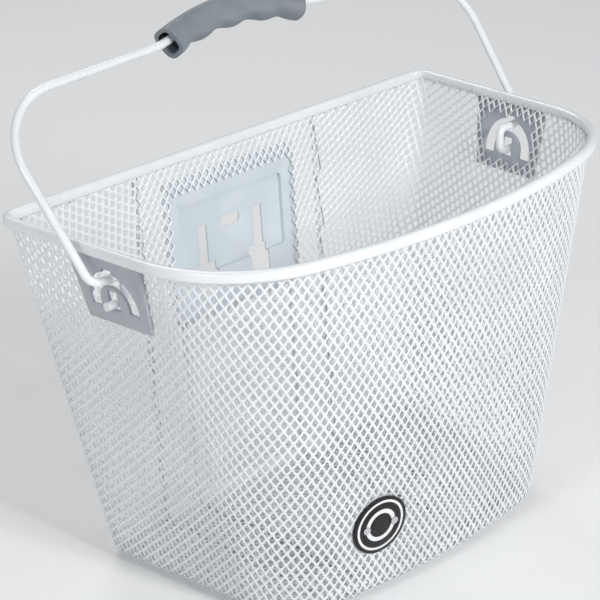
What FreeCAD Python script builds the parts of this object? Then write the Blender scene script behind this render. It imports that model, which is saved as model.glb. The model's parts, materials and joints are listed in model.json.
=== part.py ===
"""Mesh bicycle basket with a folded rim, a handlebar mounting plate and a swinging carry bail.

Frame: millimetres, +Z up, +X to the basket's right, the front at -Y and the mounting plate at +Y.
The origin is the middle of the whole object's footprint, on the surface it stands on.
"""

import FreeCAD, Part
import math
import os

V = FreeCAD.Vector

# --- basket shell -------------------------------------------------------------------------
HEIGHT = 242.0             # surface to the top of the rim
SHEET = 1.6                # thickness taken up by the expanded steel sheet
RIM_HALF_BACK = 177.0      # half width of the rim at its back corners
RIM_HALF_FRONT = 168.0     # half width of the rim at its front corners
RIM_BACK = 107.5           # y of the back edge of the rim
RIM_FRONT = -74.0          # y of the front corners of the rim
RIM_BOW = 35.0             # how far the front bows out past its corners
RIM_R_BACK = 11.0
RIM_R_FRONT = 82.0
BASE_HALF_BACK = 131.0
BASE_HALF_FRONT = 115.0
BASE_FRONT = -57.0
BASE_BOW = 14.0
BASE_R_BACK = 22.0
BASE_R_FRONT = 50.0
EDGE_RADIUS = 7.0          # rolled edge between wall and floor
EDGE_STEPS = 5
TRAY_TOP = 12.0            # height at which the floor pressing ends and the wall begins
PANEL_HALF = 75.0          # the flat back panel reaches this far each way

# --- rim ----------------------------------------------------------------------------------
RIM_BAND = 7.0             # height of the folded band
RIM_THICK = 5.0            # thickness of the folded band
RIM_ROUND = 2.0            # rounding of its edges
RIM_STEPS = 3
WALL_INSET = 3.0           # the sheet runs this far inside the outer face of the band

# --- wires --------------------------------------------------------------------------------
STAY_D = 3.0               # reinforcing wires on the back and under the floor
STAY_X_OUTER = 75.0
STAY_X_INNER = 46.0
STAY_END = 14.0            # the wires stop this far short of the front edge
RING_D = 3.6               # wire inside the bottom edge
GAP = 0.05                 # left between pieces that are welded together

# --- mounting plate -----------------------------------------------------------------------
PLATE_T = 1.5
PLATE_HALF = 55.0
PLATE_BOTTOM = 127.0
PLATE_TOP = 225.0
PLATE_BORDER = 7.0         # width of the border that laps the sheet
PLATE_ROUND = 4.0
RECESS_HALF = 43.0
RECESS_BOTTOM = 156.0
RECESS_TOP = 205.0
RECESS_DEPTH = 3.0
KEY_X = 23.3               # middle of the narrow slots
KEY_NARROW = 7.5
KEY_TOP = 187.5
KEY_NECK = 161.0
KEY_WIDE_IN = 14.0
KEY_WIDE_OUT = 29.0
KEY_BOTTOM = 140.0
LATCH_W = 16.4
LATCH_H = 7.4
LATCH_Z = 185.0

# --- hanger plates ------------------------------------------------------------------------
PIVOT_Y = 16.0
PIVOT_Z = 206.0
HANGER_T = 2.0
HANGER_TOP_HALF = 31.0
HANGER_LOW_HALF = 26.0
HANGER_LOW_Z = 192.0
HANGER_BORDER = 5.0
HANGER_SLOT_W = 8.0        # upright slot that the wire's tip turns in
HANGER_SLOT_UP = 8.0
ARCH_IN = 11.5
ARCH_OUT = 20.0
ARCH_LEG = 4.0
STEM_W = 8.0
STEM_TOP = 22.0            # above the pivot

# --- bail ---------------------------------------------------------------------------------
WIRE_D = 5.2
BAIL_HALF = 179.0          # half width where the legs leave the hooks
BAIL_TOP_HALF = 187.0
BAIL_TILT = 33.0           # the legs lean this far back when the cranks stand upright
BAIL_REACH = 128.0         # pivot to the top run, along the legs
BAIL_CORNER = 42.0
BAIL_RISE = 5.0            # the top run climbs this much from its corners to the grip
ARCH_HALF = 58.0           # half width of the arched stretch under the grip
ARCH_PEAK = 18.0           # its two runs would meet this far above its ends
ARCH_FOOT = 60.0           # bend at each end of the arched stretch
ARCH_RADIUS = 160.0        # bend along the grip
CRANK = 15.7               # pivot to where the wire crosses the hanger plate
CRANK_IN = 7.0             # the crank lies this far inside the hanger plate
TIP_OUT = 7.0
WIRE_BEND = 5.0
HOOK_BEND = 8.0

# --- grip ---------------------------------------------------------------------------------
GRIP_LENGTH = 108.0
GRIP_W = 17.0
GRIP_H = 19.0
GRIP_BORE = 5.4
GRIP_DROP = 1.5            # the grip hangs this far off the wire's middle, for the fingers

# --- badge --------------------------------------------------------------------------------
BADGE_X = -56.0
BADGE_Z = 53.0
BADGE_D = 38.0
BADGE_T = 1.6
RIVET_D = 2.4
RIVET_HEAD = 5.0
RIVET_X = 10.0


def outline(half_back, half_front, back, front, bow, r_back, r_front, z):
    """Closed smooth wire of the plan: flat back, straight ends, one wide arc across the front."""
    back_corner = V(half_back, back, z)
    front_corner = V(half_front, front, z)
    _, back_start, side_start = corner_arc(V(0, back, z), back_corner, front_corner, r_back)
    side_end, front_start, corner_middle = front_corner_arc(back_corner, front_corner, bow, r_front)
    back_middle = arc_middle(V(0, back, z), back_corner, front_corner, r_back)
    apex = V(0, front - bow, z)
    return Part.Wire([
        Part.LineSegment(mirrored(back_start), back_start).toShape(),
        Part.Arc(back_start, back_middle, side_start).toShape(),
        Part.LineSegment(side_start, side_end).toShape(),
        Part.Arc(side_end, corner_middle, front_start).toShape(),
        Part.Arc(front_start, apex, mirrored(front_start)).toShape(),
        Part.Arc(mirrored(front_start), mirrored(corner_middle), mirrored(side_end)).toShape(),
        Part.LineSegment(mirrored(side_end), mirrored(side_start)).toShape(),
        Part.Arc(mirrored(side_start), mirrored(back_middle), mirrored(back_start)).toShape(),
    ])


def mirrored(point):
    """The same point on the basket's left half."""
    return V(-point.x, point.y, point.z)


def front_corner_arc(back_corner, front_corner, bow, radius):
    """Where the arc of a front corner leaves the end and meets the front's arc, and its middle."""
    front_radius = (front_corner.x ** 2 + bow ** 2) / (2 * bow)
    front_centre = V(0, front_corner.y - bow + front_radius, front_corner.z)
    along = (front_corner - back_corner).normalize()
    inward = V(along.y, -along.x, 0)
    start = back_corner + inward * radius - front_centre
    reach = front_radius - radius
    drop = start.dot(along)
    travel = -drop + math.sqrt(drop ** 2 - start.dot(start) + reach ** 2)
    centre = front_centre + start + along * travel
    side_end = centre - inward * radius
    outward = (centre - front_centre).normalize()
    front_start = centre + outward * radius
    middle = centre + ((side_end - centre) + (front_start - centre)).normalize() * radius
    return side_end, front_start, middle


def arc_middle(before, corner, after, radius):
    """Middle point of the tangent arc at a corner."""
    to_before = (before - corner).normalize()
    to_after = (after - corner).normalize()
    half_angle = to_before.getAngle(to_after) / 2
    bisector = (to_before + to_after).normalize()
    return corner + bisector * (radius / math.sin(half_angle) - radius)


def corner_arc(before, corner, after, radius):
    """Tangent arc at a corner, as (edge, start point, end point)."""
    to_before = (before - corner).normalize()
    to_after = (after - corner).normalize()
    half_angle = to_before.getAngle(to_after) / 2
    start = corner + to_before * (radius / math.tan(half_angle))
    end = corner + to_after * (radius / math.tan(half_angle))
    return Part.Arc(start, arc_middle(before, corner, after, radius), end).toShape(), start, end


def plan(z, inset):
    """Outline of the sheet's outer face at height z, drawn in by inset."""
    t = z / HEIGHT

    def between(base, rim):
        """Value at height z on a straight line from the base's value to the rim's."""
        return base + (rim - base) * t

    back = RIM_BACK - WALL_INSET
    return outline(
        between(BASE_HALF_BACK, RIM_HALF_BACK - WALL_INSET) - inset,
        between(BASE_HALF_FRONT, RIM_HALF_FRONT - WALL_INSET) - inset,
        back - inset,
        between(BASE_FRONT, RIM_FRONT + WALL_INSET) + inset,
        between(BASE_BOW, RIM_BOW),
        between(BASE_R_BACK, RIM_R_BACK - WALL_INSET) - inset,
        between(BASE_R_FRONT, RIM_R_FRONT - WALL_INSET) - inset,
        z,
    )


def layer(outer_inset, inner_inset, low, high):
    """Closed skin that follows the walls between two insets and two heights."""
    outer = Part.makeLoft([plan(low, outer_inset), plan(high, outer_inset)], True, True)
    inner = Part.makeLoft([plan(low, inner_inset), plan(high, inner_inset)], True, True)
    return outer.cut(inner)


def rolled_sections(bottom, inset):
    """Outlines from the flat floor up round the rolled edge to the top of the floor pressing."""
    radius = EDGE_RADIUS - inset
    centre = STAY_D + GAP + EDGE_RADIUS
    sections = []
    for i in range(EDGE_STEPS + 1):
        angle = math.pi / 2 * i / EDGE_STEPS
        z = max(centre - radius * math.cos(angle), bottom)
        sections.append(plan(z, EDGE_RADIUS - radius * math.sin(angle)))
    sections.append(plan(TRAY_TOP, inset))
    return sections


def floor_mesh():
    """Floor pressing with its rolled edge, as one shallow tray."""
    bottom = STAY_D + GAP
    outer = Part.makeLoft(rolled_sections(bottom, 0), True, True)
    inner = Part.makeLoft(rolled_sections(bottom + SHEET, SHEET), True, True)
    return outer.cut(inner)


def box(x0, x1, y0, y1, z0, z1):
    """Box between two corners."""
    return Part.makeBox(x1 - x0, y1 - y0, z1 - z0, V(x0, y0, z0))


def wall():
    """The whole upright wall, before it is divided."""
    return layer(0, SHEET, TRAY_TOP + GAP, HEIGHT - RIM_BAND - GAP)


def back_mesh():
    """Flat panel between the outer stay wires, with a window behind the mounting plate."""
    y = RIM_BACK - WALL_INSET
    panel = wall().common(box(-PANEL_HALF + GAP, PANEL_HALF - GAP, y - 10, y + 10, 0, HEIGHT))
    half = PLATE_HALF - PLATE_BORDER
    window = box(-half, half, y - 10, y + 10, PLATE_BOTTOM + PLATE_BORDER, PLATE_TOP - PLATE_BORDER)
    return panel.cut(window)


def wall_mesh():
    """Sheet that runs round the front and both ends, with a window behind each hanger plate."""
    y = RIM_BACK - WALL_INSET
    sheet = wall().cut(box(-PANEL_HALF, PANEL_HALF, y - 10, y + 10, 0, HEIGHT))
    return sheet.cut(hanger_prism(HANGER_BORDER, -HEIGHT, HEIGHT))


def hanger_prism(border, x0, x1):
    """Trapezium seen from the side, drawn in by border and carried through along X."""
    top = HEIGHT - RIM_BAND - GAP - border
    low = HANGER_LOW_Z + border
    corners = [
        V(x0, PIVOT_Y - HANGER_TOP_HALF + border, top),
        V(x0, PIVOT_Y + HANGER_TOP_HALF - border, top),
        V(x0, PIVOT_Y + HANGER_LOW_HALF - border, low),
        V(x0, PIVOT_Y - HANGER_LOW_HALF + border, low),
    ]
    face = Part.Face(Part.makePolygon(corners + corners[:1]))
    return face.extrude(V(x1 - x0, 0, 0))


def across(radius, x0, x1):
    """Cylinder along X about the pivot axis."""
    return Part.makeCylinder(radius, x1 - x0, V(x0, PIVOT_Y, PIVOT_Z), V(1, 0, 0))


def hanger_slots(x0, x1):
    """The arch, its stem and the upright pivot slot, cut through along X."""
    ring = across(ARCH_OUT, x0, x1).cut(across(ARCH_IN, x0, x1))
    upper = ring.cut(box(x0, x1, PIVOT_Y - 50, PIVOT_Y + 50, PIVOT_Z - 50, PIVOT_Z))
    front_leg = box(x0, x1, PIVOT_Y - ARCH_OUT, PIVOT_Y - ARCH_IN, PIVOT_Z - ARCH_LEG, PIVOT_Z)
    back_leg = box(x0, x1, PIVOT_Y + ARCH_IN, PIVOT_Y + ARCH_OUT, PIVOT_Z - ARCH_LEG, PIVOT_Z)
    middle = (ARCH_IN + ARCH_OUT) / 2
    stem = box(x0, x1, PIVOT_Y - STEM_W / 2, PIVOT_Y + STEM_W / 2, PIVOT_Z + middle, PIVOT_Z + STEM_TOP)
    half = HANGER_SLOT_W / 2
    pivot = box(x0, x1, PIVOT_Y - half, PIVOT_Y + half, PIVOT_Z - half, PIVOT_Z + HANGER_SLOT_UP)
    return upper.fuse([front_leg, back_leg, stem, pivot])


def hanger_plate(side):
    """Steel plate welded outside the end wall; side is -1 for the left and 1 for the right."""
    skin = layer(-GAP - HANGER_T, -GAP, HANGER_LOW_Z - 10, HEIGHT - RIM_BAND - GAP)
    x0, x1 = (0, HEIGHT) if side > 0 else (-HEIGHT, 0)
    return skin.common(hanger_prism(0, x0, x1)).cut(hanger_slots(x0, x1))


def rounded_box(x0, x1, y0, y1, z0, z1, radius):
    """Box whose four edges along Y are rounded."""
    solid = box(x0, x1, y0, y1, z0, z1)
    along_y = [e for e in solid.Edges if abs(e.Vertexes[0].X - e.Vertexes[-1].X) < GAP
               and abs(e.Vertexes[0].Z - e.Vertexes[-1].Z) < GAP]
    return solid.makeFillet(radius, along_y)


def keyhole(side, y0, y1):
    """Cutter for one keyhole: a wide mouth below and a narrow slot above it."""
    inner, outer = sorted((side * KEY_WIDE_IN, side * KEY_WIDE_OUT))
    mouth = box(inner, outer, y0, y1, KEY_BOTTOM, KEY_NECK)
    x = side * KEY_X
    slot = box(x - KEY_NARROW / 2, x + KEY_NARROW / 2, y0, y1, KEY_NECK, KEY_TOP)
    return mouth.fuse(slot)


def mounting_plate():
    """Pressed plate that hooks on the handlebar bracket, with its middle pressed outwards."""
    y = RIM_BACK - WALL_INSET + GAP
    out = y + PLATE_T + RECESS_DEPTH
    flat = rounded_box(-PLATE_HALF, PLATE_HALF, y, y + PLATE_T, PLATE_BOTTOM, PLATE_TOP, PLATE_ROUND)
    boss = rounded_box(-RECESS_HALF - PLATE_T, RECESS_HALF + PLATE_T, y, out,
                       RECESS_BOTTOM - PLATE_T, RECESS_TOP + PLATE_T, PLATE_ROUND)
    hollow = rounded_box(-RECESS_HALF, RECESS_HALF, y - 1, out - PLATE_T,
                         RECESS_BOTTOM, RECESS_TOP, PLATE_ROUND - PLATE_T)
    plate = flat.fuse(boss).cut(hollow)
    for side in (-1, 1):
        plate = plate.cut(keyhole(side, y - 1, out + 1))
    half = LATCH_W / 2
    latch = rounded_box(-half, half, y - 1, out + 1, LATCH_Z - LATCH_H / 2, LATCH_Z + LATCH_H / 2,
                        LATCH_H / 2 - GAP)
    return plate.cut(latch).removeSplitter()


def band_solid(inset, side):
    """Solid through the band's outlines; side is 1 for its outer face and -1 for its inner face."""
    low = HEIGHT - RIM_BAND
    sections = []
    for i in range(2 * RIM_STEPS + 2):
        upper = i > RIM_STEPS
        angle = math.pi / 2 * (i - 1 if upper else i) / RIM_STEPS
        drawn_in = inset + side * RIM_ROUND * (1 - math.sin(angle))
        if upper:
            z = HEIGHT - RIM_ROUND - RIM_ROUND * math.cos(angle)
        else:
            z = low + RIM_ROUND - RIM_ROUND * math.cos(angle)
        sections.append(rim_outline(drawn_in, z))
    return Part.makeLoft(sections, True, True)


def rim_outline(inset, z):
    """Outline of the rim's outer face at height z, drawn in by inset."""
    return outline(RIM_HALF_BACK - inset, RIM_HALF_FRONT - inset, RIM_BACK - inset, RIM_FRONT + inset,
                   RIM_BOW, RIM_R_BACK - inset, RIM_R_FRONT - inset, z)


def top_rim():
    """Folded band round the mouth, with rounded edges."""
    return band_solid(0, 1).cut(band_solid(RIM_THICK, -1))


def sweep(path, diameter):
    """Round wire along a path."""
    start = path.Edges[0]
    tangent = start.tangentAt(start.FirstParameter)
    circle = Part.Wire(Part.makeCircle(diameter / 2, start.valueAt(start.FirstParameter), tangent))
    return path.makePipeShell([circle], True, True)


def bent_path(points, radii):
    """Wire through corner points, each inner corner rounded by its own radius."""
    edges = []
    start = points[0]
    for i in range(1, len(points) - 1):
        arc, first, last = corner_arc(points[i - 1], points[i], points[i + 1], radii[i - 1])
        edges.append(Part.LineSegment(start, first).toShape())
        edges.append(arc)
        start = last
    edges.append(Part.LineSegment(start, points[-1]).toShape())
    return Part.Wire(edges)


def front_edge(x):
    """y of the base's front edge at a distance x from the middle, near the floor."""
    return BASE_FRONT - BASE_BOW * (1 - (x / BASE_HALF_FRONT) ** 2)


def stay_wire(x, top):
    """Wire down the outside of the back, round the bottom edge and along under the floor."""
    y = RIM_BACK - WALL_INSET + GAP + STAY_D / 2
    z = STAY_D / 2
    points = [V(x, y, top), V(x, y, z), V(x, front_edge(x) + STAY_END, z)]
    return sweep(bent_path(points, [EDGE_RADIUS + STAY_D / 2]), STAY_D)


def bottom_ring():
    """Closed wire that lies inside the rolled bottom edge, on the floor sheet."""
    z = STAY_D + GAP + SHEET + EDGE_RADIUS
    path = plan(z, SHEET + RING_D / 2 + 0.4)
    return sweep(path, RING_D)


def hanger_x():
    """Distance from the middle to the hanger plate's mid thickness, on the pivot axis."""
    probe = Part.makeLine(V(0, PIVOT_Y, PIVOT_Z), V(HEIGHT, PIVOT_Y, PIVOT_Z))
    skin = layer(-GAP - HANGER_T, -GAP, HANGER_LOW_Z - 10, HEIGHT - RIM_BAND - GAP)
    cut = skin.common(probe)
    return (cut.BoundBox.XMin + cut.BoundBox.XMax) / 2


def about_pivot(x, radial, angle):
    """Point at a distance from the pivot axis, at an angle back from upright."""
    a = math.radians(angle)
    return V(x, PIVOT_Y + radial * math.sin(a), PIVOT_Z + radial * math.cos(a))


def bail_corner_points(x_plate):
    """Corner points of the right half of the bail, from its tip to the foot of the arched stretch."""
    inner = x_plate - CRANK_IN
    return [
        about_pivot(x_plate + TIP_OUT, 0, 0),
        about_pivot(inner, 0, 0),
        about_pivot(inner, CRANK, 0),
        about_pivot(BAIL_HALF, CRANK, 0),
        about_pivot(BAIL_TOP_HALF, BAIL_REACH, BAIL_TILT),
        about_pivot(ARCH_HALF, BAIL_REACH + BAIL_RISE, BAIL_TILT),
    ]


def bail_path(x_plate):
    """Middle line of the bail: tip, crank, hook, leg, top run, arch and the same again mirrored."""
    right = bail_corner_points(x_plate)
    left = [mirrored(p) for p in reversed(right)]
    peak = about_pivot(0, BAIL_REACH + BAIL_RISE + ARCH_PEAK, BAIL_TILT)
    radii = [WIRE_BEND, WIRE_BEND, HOOK_BEND, BAIL_CORNER, ARCH_FOOT]
    return bent_path(right + [peak] + left, radii + [ARCH_RADIUS] + radii[::-1])


def bail_grip(x_plate):
    """Arched soft sleeve on the middle of the top run, deeper on the side of the fingers."""
    half_turn = math.atan(ARCH_PEAK / ARCH_HALF)
    middle = PIVOT_Z + BAIL_REACH + BAIL_RISE + ARCH_PEAK - ARCH_RADIUS / math.cos(half_turn)
    outer = ARCH_RADIUS + GRIP_H / 2 - GRIP_DROP
    start = V(0, PIVOT_Y - GRIP_W / 2, middle)
    solid = Part.makeCylinder(outer, GRIP_W, start, V(0, 1, 0))
    solid = solid.cut(Part.makeCylinder(outer - GRIP_H, GRIP_W, start, V(0, 1, 0)))
    half = GRIP_LENGTH / 2
    solid = solid.common(box(-half, half, PIVOT_Y - GRIP_W, PIVOT_Y + GRIP_W, middle, middle + 2 * outer))
    along = [e for e in solid.Edges if e.BoundBox.XLength > half]
    solid = solid.makeFillet(GRIP_W / 3, along)
    solid.rotate(V(0, PIVOT_Y, PIVOT_Z), V(1, 0, 0), -BAIL_TILT)
    return solid.cut(sweep(bail_path(x_plate), GRIP_BORE))


def front_y(x, z):
    """y of the front wall's outer face at x and z."""
    probe = Part.makeLine(V(x, -HEIGHT, z), V(x, 0, z))
    return wall().common(probe).BoundBox.YMin


def front_normal(x, z):
    """The front wall's outward direction at x and z."""
    step = RIVET_D
    across_slope = (front_y(x + step, z) - front_y(x - step, z)) / (2 * step)
    up_slope = (front_y(x, z + step) - front_y(x, z - step)) / (2 * step)
    return V(across_slope, -1, up_slope).normalize()


def badge(cutters):
    """Thin round disc that lies on the front wall."""
    skin = layer(-GAP - BADGE_T, -GAP, TRAY_TOP, HEIGHT / 2)
    disc = Part.makeCylinder(BADGE_D / 2, HEIGHT, V(BADGE_X, -HEIGHT, BADGE_Z), V(0, 1, 0))
    return drilled(skin.common(disc), cutters)


def rivet_line(side):
    """Point on the wall's face and outward direction of one rivet."""
    x = BADGE_X + side * RIVET_X
    return V(x, front_y(x, BADGE_Z), BADGE_Z), front_normal(x, BADGE_Z)


def rivet(side):
    """One rivet: a head on the badge, a shank through the sheet and a set head inside."""
    point, outward = rivet_line(side)
    head = BADGE_T / 2
    shank_from = point - outward * (SHEET + 3 * GAP)
    outer_seat = point + outward * (BADGE_T + 3 * GAP)
    length = (outer_seat - shank_from).Length
    shank = Part.makeCylinder(RIVET_D / 2, length, shank_from, outward)
    outer_head = Part.makeCylinder(RIVET_HEAD / 2, head, outer_seat, outward)
    inner_head = Part.makeCylinder(RIVET_HEAD / 2, head, shank_from - outward * head, outward)
    return shank.fuse([outer_head, inner_head]).removeSplitter()


def rivet_hole(side):
    """Cutter for the hole that a rivet passes through."""
    point, outward = rivet_line(side)
    reach = 5 * BADGE_T
    return Part.makeCylinder(RIVET_D / 2 + GAP, 2 * reach, point - outward * reach, outward)


def drilled(shape, cutters):
    """Shape with each cutter taken away."""
    for cutter in cutters:
        shape = shape.cut(cutter)
    return shape


def export(shape, name):
    """Write one node's STEP file."""
    shape.exportStep(os.path.join("parts", name + ".step"))
    print(name, len(shape.Solids), "solid(s)", round(shape.Volume), "mm3", shape.isValid())


def main():
    """Build every node and write it out."""
    os.makedirs("parts", exist_ok=True)
    sides = {"left": -1, "right": 1}
    holes = [rivet_hole(side) for side in sides.values()]
    x_plate = hanger_x()
    export(top_rim(), "top_rim")
    export(drilled(wall_mesh(), holes), "wall_mesh")
    export(back_mesh(), "back_mesh")
    export(floor_mesh(), "floor_mesh")
    export(bottom_ring(), "bottom_ring")
    for name, side in sides.items():
        export(stay_wire(side * STAY_X_OUTER, HEIGHT - RIM_BAND - GAP), "stay_wire_outer_" + name)
        export(stay_wire(side * STAY_X_INNER, PLATE_BOTTOM - GAP), "stay_wire_inner_" + name)
        export(hanger_plate(side), "hanger_plate_" + name)
    export(mounting_plate(), "mounting_plate")
    export(badge(holes), "badge")
    export(Part.makeCompound([rivet(side) for side in sides.values()]), "badge_rivets")
    export(sweep(bail_path(x_plate), WIRE_D), "bail_wire")
    export(bail_grip(x_plate), "bail_grip")
    print("hanger plate x", round(x_plate, 2))


main()
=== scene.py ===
"""Looks of a steel mesh handlebar basket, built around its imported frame.

The sheet is expanded steel: one opening is modelled, repeated over a flat blank, and the blank is
then wrapped round the basket's plan, so the rows of openings run as they do on a formed basket.
Everything is in metres, +Z up, the basket's front at -Y and its mounting plate at +Y.
"""

import json
import logging
import math
from dataclasses import dataclass, field
from enum import Enum

import bmesh
import bpy
import numpy as np
from mathutils import Matrix, Vector


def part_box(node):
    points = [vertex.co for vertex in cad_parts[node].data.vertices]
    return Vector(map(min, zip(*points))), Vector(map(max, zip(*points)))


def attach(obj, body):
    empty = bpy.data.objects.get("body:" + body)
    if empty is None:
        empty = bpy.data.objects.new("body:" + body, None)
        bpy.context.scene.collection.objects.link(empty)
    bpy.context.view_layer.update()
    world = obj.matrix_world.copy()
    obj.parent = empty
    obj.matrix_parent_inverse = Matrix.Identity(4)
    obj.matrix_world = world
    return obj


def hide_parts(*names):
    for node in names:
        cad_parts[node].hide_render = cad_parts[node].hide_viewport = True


logging.basicConfig(level=logging.INFO, format="%(message)s")
LOG = logging.getLogger("basket")

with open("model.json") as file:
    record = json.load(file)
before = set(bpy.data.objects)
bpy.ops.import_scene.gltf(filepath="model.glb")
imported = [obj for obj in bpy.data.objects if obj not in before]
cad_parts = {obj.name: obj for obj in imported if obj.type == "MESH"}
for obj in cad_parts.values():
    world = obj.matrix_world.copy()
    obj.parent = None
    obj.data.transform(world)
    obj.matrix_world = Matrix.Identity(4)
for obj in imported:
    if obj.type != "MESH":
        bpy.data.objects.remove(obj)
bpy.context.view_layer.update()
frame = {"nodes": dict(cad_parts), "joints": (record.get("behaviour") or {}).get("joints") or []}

MM = 0.001
EDGE_ANGLE = math.radians(40.0)  # edges of a refined node that are sharper than this stay edges
CELL_POINTS = 8                  # corners and edge middles on one ring of a mesh cell
CELL_RINGS = 5                   # rings of a cell: outer edge, shoulder, opening, shoulder, outer edge
HOLE_RING = 2                    # the ring that lies on the opening


class Body(Enum):
    """The two bodies of the frame."""

    BASKET = "basket"
    BAIL = "bail"


class Slot(Enum):
    """Material slots of the record."""

    WHITE = "white_coat"
    MESH = "mesh_coat"
    PLATE = "plate_coat"
    HANGER = "hanger_coat"
    BADGE = "badge_face"
    RIVET = "rivet_metal"
    GRIP = "grip_plastic"


# --- shader expressions -------------------------------------------------------------------


class Expr:
    """One output socket with arithmetic operators that add Math nodes."""

    def __init__(self, graph: "Graph", socket: bpy.types.NodeSocket) -> None:
        """Keep the graph and the socket."""
        self.graph = graph
        self.socket = socket

    def _math(self, operation: str, *values: "Expr | float") -> "Expr":
        """Add a Math node on the given values."""
        return self.graph.node("ShaderNodeMath", {"operation": operation}, dict(enumerate(values)))

    def __add__(self, other: "Expr | float") -> "Expr":
        """Sum."""
        return self._math("ADD", self, other)

    def __radd__(self, other: float) -> "Expr":
        """Sum with a number on the left."""
        return self._math("ADD", other, self)

    def __rsub__(self, other: float) -> "Expr":
        """Difference from a number."""
        return self._math("SUBTRACT", other, self)

    def __mul__(self, other: "Expr | float") -> "Expr":
        """Product."""
        return self._math("MULTIPLY", self, other)

    def __rmul__(self, other: float) -> "Expr":
        """Product with a number on the left."""
        return self._math("MULTIPLY", other, self)

    def above(self, edge: float, soft: float) -> "Expr":
        """Ramp from 0 to 1 as the value passes an edge.

        Args:
            edge: Value at which the result is one half.
            soft: Half width of the ramp.

        Returns:
            The ramp as an expression.
        """
        values = {"Value": self, "From Min": edge - soft, "From Max": edge + soft}
        return self.graph.node("ShaderNodeMapRange", {"clamp": True}, values)


class Graph:
    """Node tree of one material."""

    def __init__(self, name: str) -> None:
        """Start an empty material.

        Args:
            name: Name of the material.
        """
        self.material = bpy.data.materials.new(name)
        self.material.use_nodes = True
        self.tree = self.material.node_tree
        self.tree.nodes.clear()
        self.place = self.node("ShaderNodeTexCoord", {}, {}, "Object")

    def node(self, kind: str, settings: dict, inputs: dict, output: str | int = 0) -> Expr:
        """Add a node.

        Args:
            kind: The node's type.
            settings: Properties set before the sockets.
            inputs: Socket name or number to a value or an expression.
            output: Socket that the expression stands for.

        Returns:
            The chosen output.
        """
        made = self.tree.nodes.new(kind)
        for key, value in settings.items():
            setattr(made, key, value)
        for key, value in inputs.items():
            if isinstance(value, Expr):
                self.tree.links.new(value.socket, made.inputs[key])
            else:
                made.inputs[key].default_value = value
        return Expr(self, made.outputs[output])

    def noise(self, size: float, detail: float = 3.0, roughness: float = 0.5) -> Expr:
        """Noise whose features are about size metres across, from 0 to 1."""
        inputs = {"Vector": self.place, "Scale": 1 / size, "Detail": detail, "Roughness": roughness}
        return self.node("ShaderNodeTexNoise", {}, inputs)

    def blend(self, factor: Expr | float, low: tuple, high: tuple) -> Expr:
        """Colour between two colours."""
        inputs = {0: factor, 6: (*low, 1.0), 7: (*high, 1.0)}
        return self.node("ShaderNodeMix", {"data_type": "RGBA"}, inputs, 2)

    def blend_in(self, factor: Expr, low: Expr, high: tuple) -> Expr:
        """Colour between a linked colour and a plain one."""
        inputs = {0: factor, 6: low, 7: (*high, 1.0)}
        return self.node("ShaderNodeMix", {"data_type": "RGBA"}, inputs, 2)

    def bump(self, height: Expr, depth: float, strength: float = 1.0) -> Expr:
        """Normal bent by a height of the given depth in metres."""
        inputs = {"Strength": strength, "Distance": depth, "Height": height}
        return self.node("ShaderNodeBump", {}, inputs)

    def finish(self, inputs: dict) -> bpy.types.Material:
        """Add the surface shader and the output.

        Args:
            inputs: Values of the shader's sockets.

        Returns:
            The finished material.
        """
        shader = self.node("ShaderNodeBsdfPrincipled", {}, inputs)
        out = self.tree.nodes.new("ShaderNodeOutputMaterial")
        self.tree.links.new(shader.socket, out.inputs["Surface"])
        return self.material


# --- finishes -----------------------------------------------------------------------------


@dataclass(frozen=True)
class PowderCoat:
    """Baked powder coat: slightly uneven gloss, fine orange peel and a little grime."""

    name: str
    colour: tuple = (0.80, 0.825, 0.845)
    shade: tuple = (0.70, 0.73, 0.755)
    gloss: float = 0.22
    peel_size: float = 1.1 * MM
    peel_depth: float = 0.03 * MM
    coat: float = 0.5

    def build(self) -> bpy.types.Material:
        """Material of the coat."""
        graph = Graph(self.name)
        patches = graph.noise(38 * MM, 4.0)
        specks = graph.noise(0.9 * MM, 2.0, 0.7)
        colour = graph.blend(patches.above(0.5, 0.22), self.shade, self.colour)
        colour = graph.blend_in(specks.above(0.72, 0.03) * 0.25, colour, (0.46, 0.47, 0.47))
        height = graph.noise(self.peel_size, 2.0) + 0.35 * graph.noise(self.peel_size * 0.35)
        return graph.finish({
            "Base Color": colour,
            "Roughness": self.gloss + 0.14 * patches,
            "Coat Weight": self.coat,
            "Coat Roughness": 0.08,
            "IOR": 1.5,
            "Normal": graph.bump(height, self.peel_depth),
        })


@dataclass(frozen=True)
class SoftGrip:
    """Matte grey moulded plastic with a fine spark-eroded grain."""

    name: str
    colour: tuple = (0.175, 0.205, 0.23)
    worn: tuple = (0.22, 0.25, 0.275)

    def build(self) -> bpy.types.Material:
        """Material of the grip."""
        graph = Graph(self.name)
        rub = graph.noise(14 * MM, 5.0)
        grain = graph.noise(0.55 * MM, 2.0, 0.6)
        colour = graph.blend(rub.above(0.52, 0.2), self.colour, self.worn)
        return graph.finish({
            "Base Color": colour,
            "Roughness": 0.44 + 0.16 * grain,
            "IOR": 1.48,
            "Normal": graph.bump(grain + 0.3 * rub, 0.09 * MM),
        })


@dataclass(frozen=True)
class MouthShadePaint:
    """Painted shade for the inside of the grip's open ends: near-black where the mouths lie in shade."""

    name: str

    def build(self) -> bpy.types.Material:
        """Material of the painted shade in the mouths."""
        graph = Graph(self.name)
        grain = graph.noise(0.8 * MM)
        # near-black base colour is painted shade, darker than the grip's own plastic
        return graph.finish({
            "Base Color": graph.blend(grain, (0.012, 0.013, 0.015), (0.035, 0.037, 0.04)),
            "Roughness": 0.55 + 0.2 * grain,
            "Normal": graph.bump(grain, 0.06 * MM),
        })


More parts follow.
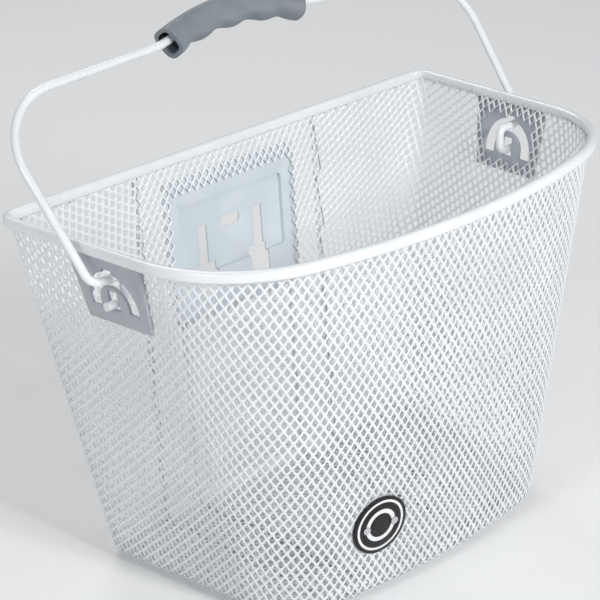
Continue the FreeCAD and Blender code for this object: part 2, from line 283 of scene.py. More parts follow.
@dataclass(frozen=True)
class BadgeEnamel:
    """Glossy black badge face with two plain light rings, drawn by distance."""

    name: str
    centre: tuple
    radius: float
    outer_ring: tuple = (0.80, 0.88)
    inner_ring: tuple = (0.42, 0.56)
    soft: float = 0.012

    def _ring(self, share: Expr, edges: tuple) -> Expr:
        """Mask of a ring between two shares of the radius."""
        return share.above(edges[0], self.soft) * (1 - share.above(edges[1], self.soft))

    def build(self) -> bpy.types.Material:
        """Material of the badge."""
        graph = Graph(self.name)
        lowered = tuple(-c for c in self.centre)
        moved = graph.node("ShaderNodeMapping", {}, {"Vector": graph.place, "Location": lowered})
        flat = graph.node("ShaderNodeVectorMath", {"operation": "MULTIPLY"},
                          {0: moved, 1: (1.0, 0.0, 1.0)})
        away = graph.node("ShaderNodeVectorMath", {"operation": "LENGTH"}, {0: flat}, "Value")
        share = away * (1 / self.radius)
        mark = self._ring(share, self.outer_ring) + self._ring(share, self.inner_ring)
        wear = graph.noise(3 * MM, 4.0)
        face = graph.blend(wear, (0.008, 0.008, 0.009), (0.022, 0.022, 0.024))
        return graph.finish({
            "Base Color": graph.blend_in(mark, face, (0.80, 0.81, 0.82)),
            "Roughness": 0.30 + 0.16 * wear,
            "Coat Weight": 0.1,
            "Specular IOR Level": 0.2,
            "Coat Roughness": 0.08,
            "Normal": graph.bump(mark + 0.05 * wear, 0.10 * MM),
        })


@dataclass(frozen=True)
class DrawnAluminium:
    """Satin rivet metal with fine turning marks."""

    name: str

    def build(self) -> bpy.types.Material:
        """Material of the rivets."""
        graph = Graph(self.name)
        fine = graph.noise(0.4 * MM, 3.0, 0.7)
        return graph.finish({
            "Base Color": graph.blend(fine, (0.60, 0.61, 0.63), (0.78, 0.79, 0.80)),
            "Metallic": 1.0,
            "Roughness": 0.26 + 0.2 * fine,
            "Normal": graph.bump(fine, 0.03 * MM),
        })


@dataclass(frozen=True)
class StudioFloor:
    """Pale paper floor with a barely visible tooth."""

    name: str

    def build(self) -> bpy.types.Material:
        """Material of the floor."""
        graph = Graph(self.name)
        tooth = graph.noise(2.5 * MM, 4.0)
        return graph.finish({
            "Base Color": graph.blend(tooth, (0.84, 0.84, 0.84), (0.88, 0.88, 0.88)),
            "Roughness": 0.85 + 0.1 * tooth,
            "Specular IOR Level": 0.15,
            "Normal": graph.bump(tooth, 0.05 * MM),
        })


# --- modelling helpers --------------------------------------------------------------------


def clear_selection() -> None:
    """Leave object mode with nothing selected."""
    if bpy.context.object and bpy.context.object.mode != "OBJECT":
        bpy.ops.object.mode_set(mode="OBJECT")
    bpy.ops.object.select_all(action="DESELECT")


def activate(piece: bpy.types.Object) -> None:
    """Select one object alone and make it active."""
    clear_selection()
    piece.select_set(True)
    bpy.context.view_layer.objects.active = piece


def apply_modifier(piece: bpy.types.Object, kind: str, **settings: object) -> None:
    """Add a modifier and apply it.

    Args:
        piece: The object.
        kind: The modifier's type.
        settings: Its properties.
    """
    activate(piece)
    modifier = piece.modifiers.new(kind.title(), kind)
    for key, value in settings.items():
        setattr(modifier, key, value)
    bpy.ops.object.modifier_apply(modifier=modifier.name)


def place_in_mesh(piece: bpy.types.Object, matrix: Matrix) -> None:
    """Move a finished mesh by a matrix, with its object left at the origin."""
    piece.data.transform(matrix @ piece.matrix_basis)
    piece.matrix_basis = Matrix.Identity(4)


def coordinates(mesh: bpy.types.Mesh) -> np.ndarray:
    """Vertex positions as an array of rows."""
    flat = np.empty(len(mesh.vertices) * 3, np.float32)
    mesh.vertices.foreach_get("co", flat)
    return flat.reshape(-1, 3).astype(float)


def set_coordinates(mesh: bpy.types.Mesh, points: np.ndarray) -> None:
    """Write vertex positions back."""
    mesh.vertices.foreach_set("co", points.astype(np.float32).ravel())
    mesh.update()


def keep_vertices(piece: bpy.types.Object, keep: np.ndarray) -> None:
    """Delete every vertex outside a mask, with its faces."""
    data = bmesh.new()
    data.from_mesh(piece.data)
    data.verts.ensure_lookup_table()
    unwanted = [data.verts[i] for i in np.flatnonzero(~keep)]
    bmesh.ops.delete(data, geom=unwanted, context="VERTS")
    data.to_mesh(piece.data)
    data.free()


def dress(piece: bpy.types.Object, material: bpy.types.Material, body: Body) -> None:
    """Give a piece its material and body.

    Args:
        piece: The object.
        material: Its finish.
        body: The body it rides on.
    """
    piece.data.materials.clear()
    piece.data.materials.append(material)
    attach(piece, body.value)
    LOG.info("%s: %d faces", piece.name, len(piece.data.polygons))


def refined_copy(node: str, name: str, bevel: float) -> bpy.types.Object:
    """Smooth copy of a node with softened edges.

    Args:
        node: Name of the node.
        name: Name of the new piece.
        bevel: Width of the softened edges, or 0 for none.

    Returns:
        The new object.
    """
    piece = bpy.data.objects.new(name, frame["nodes"][node].data.copy())
    bpy.context.scene.collection.objects.link(piece)
    activate(piece)
    bpy.ops.object.mode_set(mode="EDIT")
    bpy.ops.mesh.select_all(action="SELECT")
    bpy.ops.mesh.remove_doubles(threshold=0.005 * MM)
    bpy.ops.mesh.customdata_custom_splitnormals_clear()
    bpy.ops.object.mode_set(mode="OBJECT")
    if bevel:
        apply_modifier(piece, "DECIMATE", decimate_type="DISSOLVE", angle_limit=math.radians(1.0))
        apply_modifier(piece, "BEVEL", width=bevel, segments=2, limit_method="ANGLE",
                       angle_limit=EDGE_ANGLE, harden_normals=False)
    activate(piece)
    bpy.ops.object.shade_smooth_by_angle(angle=EDGE_ANGLE)
    return piece


# --- the basket's plan --------------------------------------------------------------------


@dataclass
class Plan:
    """Plan of the sheet at any height: flat back, straight ends and one wide arc in front."""

    height: float = 242.0 * MM
    rim_half_back: float = 174.0 * MM
    rim_half_front: float = 165.0 * MM
    rim_front: float = -71.0 * MM
    rim_bow: float = 35.0 * MM
    rim_r_back: float = 8.0 * MM
    rim_r_front: float = 79.0 * MM
    back: float = 104.5 * MM
    base_half_back: float = 131.0 * MM
    base_half_front: float = 115.0 * MM
    base_front: float = -57.0 * MM
    base_bow: float = 14.0 * MM
    base_r_back: float = 22.0 * MM
    base_r_front: float = 50.0 * MM
    panel_half: float = 66.0 * MM
    wide_steps: int = 40
    tight_steps: int = 14

    def half_outline(self, z: float, inset: float) -> np.ndarray:
        """Right half of the outline, from the front's middle to the flat back panel.

        Args:
            z: Height above the surface.
            inset: Distance inside the sheet's outer face.

        Returns:
            Closely spaced points as rows of x and y.
        """
        t = z / self.height

        def between(base: float, rim: float) -> float:
            """Value at height z."""
            return base + (rim - base) * t

        half_back = between(self.base_half_back, self.rim_half_back) - inset
        back_corner = np.array([half_back, self.back - inset])
        front_corner = np.array([between(self.base_half_front, self.rim_half_front) - inset,
                                 between(self.base_front, self.rim_front) + inset])
        bow = between(self.base_bow, self.rim_bow)
        r_front = between(self.base_r_front, self.rim_r_front) - inset
        r_back = between(self.base_r_back, self.rim_r_back) - inset
        wide = (front_corner[0] ** 2 + bow ** 2) / (2 * bow)
        wide_centre = np.array([0.0, front_corner[1] - bow + wide])
        along = front_corner - back_corner
        along /= np.hypot(*along)
        inward = np.array([along[1], -along[0]])
        start = back_corner + inward * r_front - wide_centre
        drop = start @ along
        travel = -drop + math.sqrt(drop ** 2 - start @ start + (wide - r_front) ** 2)
        corner_centre = wide_centre + start + along * travel
        outward = (corner_centre - wide_centre) / (wide - r_front)
        meet = math.atan2(outward[1], outward[0])
        end_angle = math.atan2(-inward[1], -inward[0])
        front = arc(wide_centre, wide, -math.pi / 2, meet, self.wide_steps)
        corner = arc(corner_centre, r_front, meet, end_angle, self.wide_steps)
        tangent = r_back * math.tan((math.pi / 2 - end_angle) / 2)
        back_centre = np.array([back_corner[0] - tangent, back_corner[1] - r_back])
        rear = arc(back_centre, r_back, end_angle, math.pi / 2, self.tight_steps)
        panel = np.array([[self.panel_half, self.back - inset]])
        return np.concatenate([front, corner[1:], rear, panel])


def arc(centre: np.ndarray, radius: float, start: float, end: float, steps: int) -> np.ndarray:
    """Points along an arc, given by its centre, radius and two angles in radians."""
    angles = np.linspace(start, end, steps)
    return centre + radius * np.stack([np.cos(angles), np.sin(angles)], axis=1)


def evenly(points: np.ndarray, count: int) -> tuple[np.ndarray, float]:
    """Points respaced evenly along a polyline, and its length."""
    steps = np.hypot(*np.diff(points, axis=0).T)
    lengths = np.concatenate([[0.0], np.cumsum(steps)])
    wanted = np.linspace(0, lengths[-1], count)
    spaced = np.stack([np.interp(wanted, lengths, points[:, i]) for i in (0, 1)], axis=1)
    return spaced, float(lengths[-1])


# --- expanded sheet -----------------------------------------------------------------------


@dataclass
class ExpandedSheet:
    """Flat expanded steel: staggered openings between tilted strands."""

    pitch_x: float = 6.0 * MM
    pitch_y: float = 8.8 * MM
    strand: float = 1.5 * MM
    thick: float = 1.0 * MM
    tilt: float = 0.5 * MM
    shoulder: float = 0.42
    draw_in_x: float = 0.90
    draw_in_y: float = 0.87

    def cell(self) -> bpy.types.Object:
        """One opening with half of the strands round it, centred on the origin."""
        clear_selection()
        bpy.ops.mesh.primitive_circle_add(vertices=CELL_POINTS, radius=1.0, fill_type="NOTHING")
        cell = bpy.context.object
        outer = self._rhombus()
        set_coordinates(cell.data, np.column_stack([outer, np.full(CELL_POINTS, self.thick / 2)]))
        hole = self._hole()
        middle = (outer + hole) / 2
        lift = -self.tilt * hole[:, 1:] / (self.pitch_y / 2)
        rings = [(middle, self.shoulder, 0.5), (hole, 0.0, 1.0),
                 (middle, -self.shoulder, 0.5), (outer, -0.5, 0.0)]
        bpy.ops.object.mode_set(mode="EDIT")
        bpy.ops.mesh.select_all(action="SELECT")
        for number, (ring, height, tilted) in enumerate(rings, 1):
            bpy.ops.mesh.extrude_edges_move()
            bpy.ops.object.mode_set(mode="OBJECT")
            points = coordinates(cell.data)
            level = self.thick * height + tilted * lift[:, 0]
            first = CELL_POINTS * number
            points[first:first + CELL_POINTS] = np.column_stack([ring, level])
            set_coordinates(cell.data, points)
            bpy.ops.object.mode_set(mode="EDIT")
        bpy.ops.object.mode_set(mode="OBJECT")
        return cell

    def _rhombus(self) -> np.ndarray:
        """Corners and edge middles of the cell, anticlockwise from +X."""
        a, b = self.pitch_x / 2, self.pitch_y / 2
        quarter = [(a, 0), (a / 2, b / 2), (0, b), (-a / 2, b / 2)]
        return np.array(quarter + [(-x, -y) for x, y in quarter])

    def _hole(self) -> np.ndarray:
        """Eight points of the opening, its corners drawn in so that it reads as rounded."""
        a, b = self.pitch_x / 2, self.pitch_y / 2
        slope = math.hypot(a, b)
        shift = self.strand / 2
        side = np.array([a / 2 - shift * b / slope, b / 2 - shift * a / slope])
        corner_x = (a - shift * slope / b) * self.draw_in_x
        corner_y = (b - shift * slope / a) * self.draw_in_y
        quarter = [(corner_x, 0), tuple(side), (0, corner_y), (-side[0], side[1])]
        return np.array(quarter + [(-x, -y) for x, y in quarter])

    def blank(self, name: str, width: float, height: float) -> bpy.types.Object:
        """Flat sheet of cells centred on the origin.

        Args:
            name: Name of the piece.
            width: Its size along X.
            height: Its size along Y.

        Returns:
            The flat sheet.
        """
        cell = self.cell()
        cell.name = name
        columns = math.ceil(width / self.pitch_x)
        rows = math.ceil(height / self.pitch_y)
        apply_modifier(cell, "ARRAY", count=2, use_relative_offset=False, use_constant_offset=True,
                       constant_offset_displace=(self.pitch_x / 2, self.pitch_y / 2, 0))
        apply_modifier(cell, "ARRAY", count=columns, use_relative_offset=False,
                       use_constant_offset=True, constant_offset_displace=(self.pitch_x, 0, 0))
        apply_modifier(cell, "ARRAY", count=rows, use_relative_offset=False,
                       use_constant_offset=True, constant_offset_displace=(0, self.pitch_y, 0))
        points = coordinates(cell.data)
        points[:, 0] -= (columns - 0.5) * self.pitch_x / 2
        points[:, 1] -= (rows - 0.5) * self.pitch_y / 2
        set_coordinates(cell.data, points)
        return cell

    def cell_centres(self, points: np.ndarray) -> np.ndarray:
        """Centre of the cell that each vertex belongs to, for a sheet before it is merged."""
        size = CELL_POINTS * CELL_RINGS
        first = CELL_POINTS * HOLE_RING
        groups = points.reshape(-1, size, 3)
        centres = groups[:, first:first + CELL_POINTS].mean(axis=1)
        return np.repeat(centres, size, axis=0)


@dataclass
class MeshShell:
    """The three sheets of the basket: the wrap, the back panel and the floor."""

    material: bpy.types.Material
    plan: Plan = field(default_factory=Plan)
    sheet: ExpandedSheet = field(default_factory=ExpandedSheet)
    edge_radius: float = 7.0 * MM
    mid_inset: float = 0.8 * MM
    rim_lap: float = 3.0 * MM
    hanger_border: float = 5.0 * MM
    plate_side: float = 3.0 * MM
    plate_top: float = 9.0 * MM
    floor_lap: float = 3.0 * MM
    floor_trim: float = 2.0 * MM
    panel_foot: float = 2.0 * MM
    wall_foot: float = 1.0 * MM
    top_reach: float = 4.0 * MM
    hanger_taper: float = 0.16
    hanger_depth: float = 20.0 * MM
    blank_side: float = 40.0 * MM
    blank_end: float = 200.0 * MM
    slope: float = 1.018
    wall_rows: int = 12
    bend_rows: int = 10
    columns: int = 240
    end_share: float = 1.01
    seam_share: float = 0.36
    weld: float = 0.06 * MM
    smooth: float = math.radians(75)

    def build(self) -> None:
        """Make every sheet."""
        self.levels()
        self.wrap("wall_mesh_left", -self.end_share, -self.seam_share)
        self.wrap("wall_mesh_front", -self.seam_share, self.seam_share)
        self.wrap("wall_mesh_right", self.seam_share, self.end_share)
        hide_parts("wall_mesh")
        self.back_panel()
        self.floor()

    def levels(self) -> None:
        """Table of surface points by share of the way round and distance down from the rim."""
        self.floor_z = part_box("floor_mesh")[0].z
        self.wall_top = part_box("wall_mesh")[1].z
        self.bend_z = self.floor_z + self.edge_radius
        rise = self.wall_top - self.bend_z
        self.slant = rise * self.slope
        bend = self.edge_radius * math.pi / 2
        bend_steps = np.linspace(1 / self.bend_rows, 1, self.bend_rows)
        self.depth = np.concatenate([np.linspace(0, self.slant, self.wall_rows),
                                     self.slant + bend * bend_steps,
                                     [self.slant + bend + self.floor_lap]])
        rows = []
        self.half_length = []
        for d in self.depth:
            turned = min(max((d - self.slant) / self.edge_radius, 0.0), math.pi / 2)
            extra = max(d - self.slant - bend, 0.0)
            radius = self.edge_radius - self.mid_inset
            if turned > 0:
                z = self.bend_z - radius * math.sin(turned)
            else:
                z = self.wall_top - rise * d / self.slant
            inset = self.edge_radius - radius * math.cos(turned) + extra
            outline, length = evenly(self.plan.half_outline(z, inset), self.columns)
            rows.append(np.column_stack([outline, np.full(self.columns, z)]))
            self.half_length.append(length)
        self.table = np.array(rows)
        down = np.gradient(self.table, self.depth, axis=0)
        around = np.gradient(self.table, axis=1)
        normal = np.cross(around, -down)
        self.normals = normal / np.linalg.norm(normal, axis=2, keepdims=True)

    def on_surface(self, share: np.ndarray, depth: np.ndarray, lift: np.ndarray) -> np.ndarray:
        """Points on the wrapped sheet.

        Args:
            share: Signed share of the way from the front's middle to the back panel.
            depth: Distance down from the rim, along the sheet.
            lift: Distance outwards from the sheet's middle.

        Returns:
            The points as rows.
        """
        column = np.clip(np.abs(share), 0, 1) * (self.table.shape[1] - 1)
        row = np.interp(depth, self.depth, np.arange(len(self.depth)))
        place = bilinear(self.table, row, column)
        outward = bilinear(self.normals, row, column)
        points = place + outward * lift[:, None]
        points[:, 0] *= np.where(share < 0, -1, 1)
        return points

    def wrap(self, name: str, share_from: float, share_to: float) -> None:
        """One part of the sheet round the front and ends.

        Args:
            name: Name of the piece.
            share_from: Where it starts, as a signed share of the way to the back panel.
            share_to: Where it ends.
        """
        total = self.depth[-1]
        top_length, low_length = self.half_length[0], self.half_length[self.wall_rows - 1]
        fan = (top_length - low_length) / self.slant
        apex = top_length / fan
        piece = self.sheet.blank(name, 2 * top_length + self.blank_side, total + self.blank_end)
        points = coordinates(piece.data)
        centres = self.sheet.cell_centres(points)

        def polar(flat: np.ndarray) -> tuple[np.ndarray, np.ndarray]:
            """Share round and depth of points on the flat blank."""
            x, y = flat[:, 0], apex + flat[:, 1] - total / 2
            reach = np.hypot(x, y)
            return np.arctan2(x, y) / fan, apex - reach

        share, depth = polar(centres)
        keep = (share >= share_from) & (share < share_to)
        keep &= (depth > -self.rim_lap) & (depth < total - self.wall_foot)
        keep &= ~self._behind_hanger(share, depth) & ~self._on_panel(share, depth)
        share, depth = polar(points)
        wrapped = self.on_surface(share, np.clip(depth, -self.top_reach, total), points[:, 2])
        above = self.wall_top - np.maximum(depth, -self.rim_lap)
        wrapped[:, 2] = np.where(depth < 0, above, wrapped[:, 2])
        set_coordinates(piece.data, wrapped)
        self._finish(piece, keep)

    def _on_panel(self, share: np.ndarray, depth: np.ndarray) -> np.ndarray:
        """Which cells lie on the flat back panel, which has a sheet of its own."""
        where = self.on_surface(share, depth, np.zeros(len(share)))
        low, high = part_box("back_mesh")
        return (np.abs(where[:, 0]) < high.x) & (where[:, 1] > low.y - self.edge_radius)

    def _behind_hanger(self, share: np.ndarray, depth: np.ndarray) -> np.ndarray:
        """Which cells lie in the window behind a hanger plate."""
        where = self.on_surface(share, depth, np.zeros(len(share)))
        low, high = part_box("hanger_plate_right")
        border = self.hanger_border
        middle = (low.y + high.y) / 2
        half = (high.y - low.y) / 2 - border
        taper = self.hanger_taper * (high.z - where[:, 2])
        inside = (np.abs(where[:, 1] - middle) < half - taper) & (where[:, 2] > low.z + border)
        return inside & (where[:, 2] < high.z - border) & (np.abs(where[:, 0]) > low.x - self.hanger_depth)

    def back_panel(self) -> None:
        """Flat sheet between the outer stay wires, cut away behind the mounting plate."""
        low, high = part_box("back_mesh")
        plate_low, plate_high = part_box("mounting_plate")
        y = (low.y + high.y) / 2
        width = high.x - low.x
        floor_z = self.floor_z + self.mid_inset
        piece = self.sheet.blank("back_mesh_panel", width, self.wall_top - floor_z)
        points = coordinates(piece.data)
        centres = self.sheet.cell_centres(points)
        middle = (self.wall_top + floor_z) / 2
        x, z = centres[:, 0], centres[:, 1] + middle
        window = (np.abs(x) < plate_high.x - self.plate_side)
        window &= (z > plate_low.z + self.plate_side) & (z < plate_high.z - self.plate_top)
        keep = (np.abs(x) < width / 2) & ~window
        keep &= (z < self.wall_top + self.rim_lap) & (z > self.bend_z - self.panel_foot)
        up = np.minimum(points[:, 1] + middle, self.wall_top + self.rim_lap)
        set_coordinates(piece.data, np.column_stack([points[:, 0], y + points[:, 2], up]))
        self._finish(piece, keep)
        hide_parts("back_mesh")

    def floor(self) -> None:
        """Flat sheet of the floor, inside the rolled edge."""
        z = self.floor_z + self.mid_inset
        outline = self.plan.half_outline(z, self.edge_radius + self.floor_lap - self.floor_trim)
        loop = np.concatenate([outline, outline[::-1] * np.array([-1, 1])])
        low, high = loop.min(axis=0), loop.max(axis=0)
        piece = self.sheet.blank("floor_mesh_sheet", high[0] - low[0], high[1] - low[1])
        points = coordinates(piece.data)
        points[:, 1] += (low[1] + high[1]) / 2
        centres = self.sheet.cell_centres(points)
        keep = inside_loop(centres[:, :2], loop)
        set_coordinates(piece.data, np.column_stack([points[:, :2], z - points[:, 2]]))
        self._finish(piece, keep)
        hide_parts("floor_mesh")

    def _finish(self, piece: bpy.types.Object, keep: np.ndarray) -> None:
        """Cut the sheet to shape, weld its cells and dress it."""
        keep_vertices(piece, keep)
        activate(piece)
        bpy.ops.object.mode_set(mode="EDIT")
        bpy.ops.mesh.select_all(action="SELECT")
        bpy.ops.mesh.remove_doubles(threshold=self.weld)
        bpy.ops.mesh.normals_make_consistent(inside=False)
        bpy.ops.object.mode_set(mode="OBJECT")
        bpy.ops.object.shade_smooth_by_angle(angle=self.smooth)
        dress(piece, self.material, Body.BASKET)


def bilinear(table: np.ndarray, row: np.ndarray, column: np.ndarray) -> np.ndarray:
    """Values between a table's rows and columns."""
    r0 = np.clip(np.floor(row).astype(int), 0, table.shape[0] - 2)
    c0 = np.clip(np.floor(column).astype(int), 0, table.shape[1] - 2)
    r = (row - r0)[:, None]
    c = (column - c0)[:, None]
    near = table[r0, c0] * (1 - c) + table[r0, c0 + 1] * c
    far = table[r0 + 1, c0] * (1 - c) + table[r0 + 1, c0 + 1] * c
    return near * (1 - r) + far * r


def inside_loop(points: np.ndarray, loop: np.ndarray) -> np.ndarray:
    """Which points lie inside a closed loop."""
    inside = np.zeros(len(points), bool)
    x, y = points[:, 0], points[:, 1]
    for (x0, y0), (x1, y1) in zip(loop, np.roll(loop, -1, axis=0)):
        if y0 == y1:
            continue
        crosses = (y0 > y) != (y1 > y)
        inside ^= crosses & (x < x0 + (y - y0) * (x1 - x0) / (y1 - y0))
    return inside


# --- solid steel pieces -------------------------------------------------------------------


@dataclass
class SteelWork:
    """Rim, wires and plates: the node's own shape, with softened edges."""

    coat: bpy.types.Material
    plate: bpy.types.Material
    hanger: bpy.types.Material
    plate_edge: float = 0.35 * MM

    def build(self) -> None:
        """Make every piece."""
        self._piece("top_rim", "rim_band", 0.0, self.coat, Body.BASKET)
        self._piece("bottom_ring", "base_ring", 0.0, self.coat, Body.BASKET)
        for side in ("left", "right"):
            for row in ("outer", "inner"):
                self._piece(f"stay_wire_{row}_{side}", f"stay_{row}_{side}", 0.0, self.coat,
                            Body.BASKET)
            self._piece(f"hanger_plate_{side}", f"hanger_{side}", self.plate_edge, self.hanger,
                        Body.BASKET)
        self._piece("mounting_plate", "bracket_plate", self.plate_edge, self.plate,
                    Body.BASKET)
        self._piece("bail_wire", "carry_wire", 0.0, self.coat, Body.BAIL)

    def _piece(self, node: str, name: str, bevel: float, material: bpy.types.Material,
               body: Body) -> None:
        """One refined copy of a node, dressed."""
        piece = refined_copy(node, name, bevel)
        dress(piece, material, body)
        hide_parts(node)


@dataclass
class Badge:
    """Plain round badge and its two domed rivets."""

    metal: bpy.types.Material

    def build(self) -> None:
        """Make the disc and the rivets."""
        low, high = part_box("badge")
        centre = (low + high) / 2
        enamel = BadgeEnamel("badge_enamel", tuple(centre), (high.x - low.x) / 2).build()
        disc = refined_copy("badge", "badge_disc", 0.45 * MM)
        dress(disc, enamel, Body.BASKET)
        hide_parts("badge")
        rivets = refined_copy("badge_rivets", "badge_rivet_heads", 0.3 * MM)
        dress(rivets, self.metal, Body.BASKET)
        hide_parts("badge_rivets")


# --- grip ---------------------------------------------------------------------------------


@dataclass
class Grip:
    """Arched plastic sleeve with finger waves below and open ends."""

    plastic: bpy.types.Material
    # painted shade material for the faces inside the mouths
    hollow: bpy.types.Material
    arch_radius: float = 160.0 * MM
    arch_slope: float = 18.0 / 58.0
    foot_reach: float = 133.0 * MM
    peak: float = 18.0 * MM
    tilt: float = 33.0
    length: float = 108.0 * MM
    width: float = 17.0 * MM
    height: float = 19.0 * MM
    drop: float = 1.5 * MM
    wave: float = 2.3 * MM
    waves: int = 4
    wall: float = 2.2 * MM
    mouth_depth: float = 7.0 * MM
    rings: int = 60
    spokes: int = 36
    squareness: int = 3
    flare: float = 0.05
    waist: float = 0.08
    thinning: float = 0.9 * MM
    wave_end: float = 0.93
    wave_fade: float = 0.18
    end_step: float = 0.02
    mouth_zone: float = 0.85
    facing: float = 0.55

    def build(self) -> None:
        """Make the sleeve, paint shade into its mouths, and place them."""
        clear_selection()
        bpy.ops.mesh.primitive_cylinder_add(vertices=self.spokes, radius=0.5, depth=1.0,
                                            end_fill_type="NGON", rotation=(0, math.pi / 2, 0))
        sleeve = bpy.context.object
        sleeve.name = "grip_sleeve"
        bpy.ops.object.transform_apply(location=True, rotation=True, scale=True)
        self._open_ends(sleeve)
        self._divide(sleeve)
        self._shape(sleeve)
        activate(sleeve)
        bpy.ops.object.mode_set(mode="EDIT")
        bpy.ops.mesh.select_all(action="SELECT")
        bpy.ops.mesh.normals_make_consistent(inside=False)
        bpy.ops.object.mode_set(mode="OBJECT")
        bpy.ops.object.shade_smooth_by_angle(angle=math.radians(50))
        dress(sleeve, self.plastic, Body.BAIL)
        # second slot: painted shade inside the mouths
        sleeve.data.materials.append(self.hollow)
        self._paint_mouth_shade(sleeve)
        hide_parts("bail_grip")

    def _open_ends(self, sleeve: bpy.types.Object) -> None:
        """Inset both end faces and push them in, which leaves a hollow mouth."""
        bpy.ops.object.mode_set(mode="EDIT")
        bpy.ops.mesh.select_mode(type="FACE")
        for side in (-1, 1):
            bpy.ops.mesh.select_all(action="DESELECT")
            bpy.ops.object.mode_set(mode="OBJECT")
            for face in sleeve.data.polygons:
                face.select = face.normal.x * side > 0.9 and abs(face.center.x) > 0.49
            bpy.ops.object.mode_set(mode="EDIT")
            bpy.ops.mesh.inset(thickness=self.end_step)
            bpy.ops.mesh.inset(thickness=self.wall / self.height)
            depth = -side * self.mouth_depth / self.length
            bpy.ops.mesh.extrude_region_move(TRANSFORM_OT_translate={"value": (depth, 0, 0)})
        bpy.ops.object.mode_set(mode="OBJECT")

    def _divide(self, sleeve: bpy.types.Object) -> None:
        """Cut the sleeve across its length into even rings."""
        activate(sleeve)
        bpy.ops.object.mode_set(mode="EDIT")
        inner = 0.5 - self.mouth_depth / self.length
        for i in range(1, self.rings):
            x = -0.5 + i / self.rings
            if abs(abs(x) - inner) < 0.2 / self.rings:
                continue
            bpy.ops.mesh.select_all(action="SELECT")
            bpy.ops.mesh.bisect(plane_co=(x, 0, 0), plane_no=(1, 0, 0))
        bpy.ops.object.mode_set(mode="OBJECT")

    def _shape(self, sleeve: bpy.types.Object) -> None:
        """Round box section, finger waves, flared ends, arch, lean and place."""
        points = coordinates(sleeve.data)
        along = points[:, 0] * 2
        across, up = points[:, 1] * 2, points[:, 2] * 2
        reach = np.maximum(np.hypot(across, up), 1e-9)
        k = self.squareness
        power = (np.abs(across / reach) ** k + np.abs(up / reach) ** k) ** (-1 / k)
        across, up = across * power, up * power
        flare = 1 + self.flare * np.abs(along) ** 6
        below = np.clip(-up, 0, 1)
        fade = np.clip((self.wave_end - np.abs(along)) / self.wave_fade, 0, 1)
        hollow = self.wave * (1 - np.cos(self.waves * math.pi * (along + 1))) / 2
        thin = self.thinning * (1 - along ** 2)
        x = along * self.length / 2
        y = across * self.width / 2 * flare * (1 - self.waist + self.waist * np.abs(along) ** 2)
        z = up * self.height / 2 * (flare * 0.98) - self.drop + below * (hollow * fade - thin)
        angle = x / self.arch_radius
        turn = math.atan(self.arch_slope)
        radius = self.arch_radius + z
        middle = self.foot_reach + self.peak - self.arch_radius / math.cos(turn)
        points = np.column_stack([radius * np.sin(angle), y, middle + radius * np.cos(angle)])
        set_coordinates(sleeve.data, points)
        pivot = Vector(frame["joints"][0]["pos_m"])
        lean = Matrix.Rotation(-math.radians(self.tilt), 4, "X")
        place_in_mesh(sleeve, Matrix.Translation(pivot) @ lean)

    def _paint_mouth_shade(self, sleeve: bpy.types.Object) -> None:
        """Give the faces inside both mouths the painted shade material."""
        middle = np.array([v.co for v in sleeve.data.vertices]).mean(axis=0)
        for face in sleeve.data.polygons:
            away = abs(face.center.x) / (self.length / 2)
            inward = face.normal.x * math.copysign(1, face.center.x) > self.facing
            deep = away < 1 - 1.5 * self.mouth_depth / self.length and inward
            spoke = (face.center - Vector(middle)).normalized().dot(face.normal)
            if deep or (away > self.mouth_zone and spoke < -0.2 and not inward):
                # faces inside the mouths get the painted shade
                face.material_index = 1


# --- studio -------------------------------------------------------------------------------


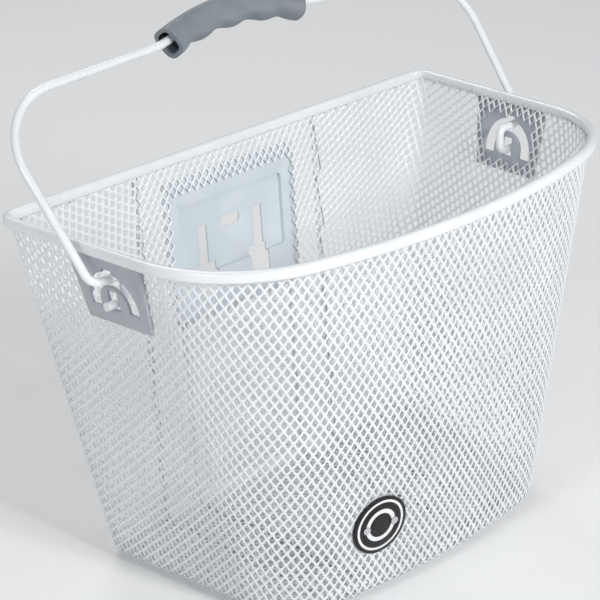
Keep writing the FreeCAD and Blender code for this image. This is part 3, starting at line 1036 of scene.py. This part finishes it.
@dataclass
class Studio:
    """Pale floor, soft lights and the camera."""

    camera_at: tuple = (-0.8243, -0.8844, 0.6729)
    azimuth: float = -41.57
    elevation: float = 23.0
    roll: float = -3.72
    lens: float = 129.1

    def build(self) -> None:
        """Make the camera, the lights and the floor."""
        self._camera()
        self._floor()
        self._light("key_light", (-0.1, -1.75, 1.05), 0.4, 25.0)
        self._light("side_light", (-1.7, -0.3, 1.0), 0.35, 6.0)
        self._light("back_light", (0.6, 1.3, 1.6), 0.8, 8.0)
        world = bpy.data.worlds.new("studio_world")
        world.use_nodes = True
        world.node_tree.nodes["Background"].inputs["Color"].default_value = (0.96, 0.98, 1.0, 1.0)
        world.node_tree.nodes["Background"].inputs["Strength"].default_value = 0.45
        bpy.context.scene.world = world
        bpy.context.scene.view_settings.view_transform = "Standard"

    def _camera(self) -> None:
        """Camera that looks along the given direction with a small roll."""
        a, e, r = (math.radians(v) for v in (self.azimuth, self.elevation, self.roll))
        ahead = Vector((-math.sin(a) * math.cos(e), math.cos(a) * math.cos(e), -math.sin(e)))
        level = Vector((math.cos(a), math.sin(a), 0))
        upright = level.cross(ahead)
        right = math.cos(r) * level + math.sin(r) * upright
        up = math.cos(r) * upright - math.sin(r) * level
        data = bpy.data.cameras.new("studio_camera")
        data.lens = self.lens
        data.sensor_width = 36.0
        data.clip_start = 0.05
        camera = bpy.data.objects.new("studio_camera", data)
        turn = Matrix((right, up, -ahead)).transposed().to_4x4()
        camera.matrix_world = Matrix.Translation(Vector(self.camera_at)) @ turn
        bpy.context.scene.collection.objects.link(camera)
        bpy.context.scene.camera = camera

    def _floor(self) -> None:
        """Wide pale floor just under the basket."""
        clear_selection()
        bpy.ops.mesh.primitive_grid_add(x_subdivisions=2, y_subdivisions=2, size=14.0,
                                        location=(0, 0, -0.0003))
        floor = bpy.context.object
        floor.name = "studio_floor"
        floor.data.materials.append(StudioFloor("studio_paper").build())

    def _light(self, name: str, place: tuple, size: float, power: float) -> None:
        """Square soft light aimed at the basket's middle."""
        data = bpy.data.lights.new(name, "AREA")
        data.size = size
        data.energy = power
        light = bpy.data.objects.new(name, data)
        light.location = place
        aim = Vector((0, 0, 0.15)) - Vector(place)
        light.rotation_euler = aim.to_track_quat("-Z", "Y").to_euler()
        bpy.context.scene.collection.objects.link(light)


def main() -> None:
    """Build the basket and its studio."""
    Studio().build()
    coat = PowderCoat("white_powder_coat").build()
    mesh_coat = PowderCoat("mesh_powder_coat", peel_size=0.8 * MM, peel_depth=0.02 * MM).build()
    plate = PowderCoat("plate_coat", (0.65, 0.71, 0.745), (0.58, 0.645, 0.685), 0.34).build()
    hanger = PowderCoat("hanger_coat", (0.42, 0.45, 0.485), (0.35, 0.38, 0.415), 0.36, coat=0.2).build()
    SteelWork(coat, plate, hanger).build()
    MeshShell(mesh_coat).build()
    Badge(DrawnAluminium("rivet_metal").build()).build()
    # the second material is painted shade for the grip's mouths
    Grip(SoftGrip("grip_plastic").build(), MouthShadePaint("grip_mouth_painted_shade").build()).build()
    clear_selection()


if __name__ == "__main__":
    main()
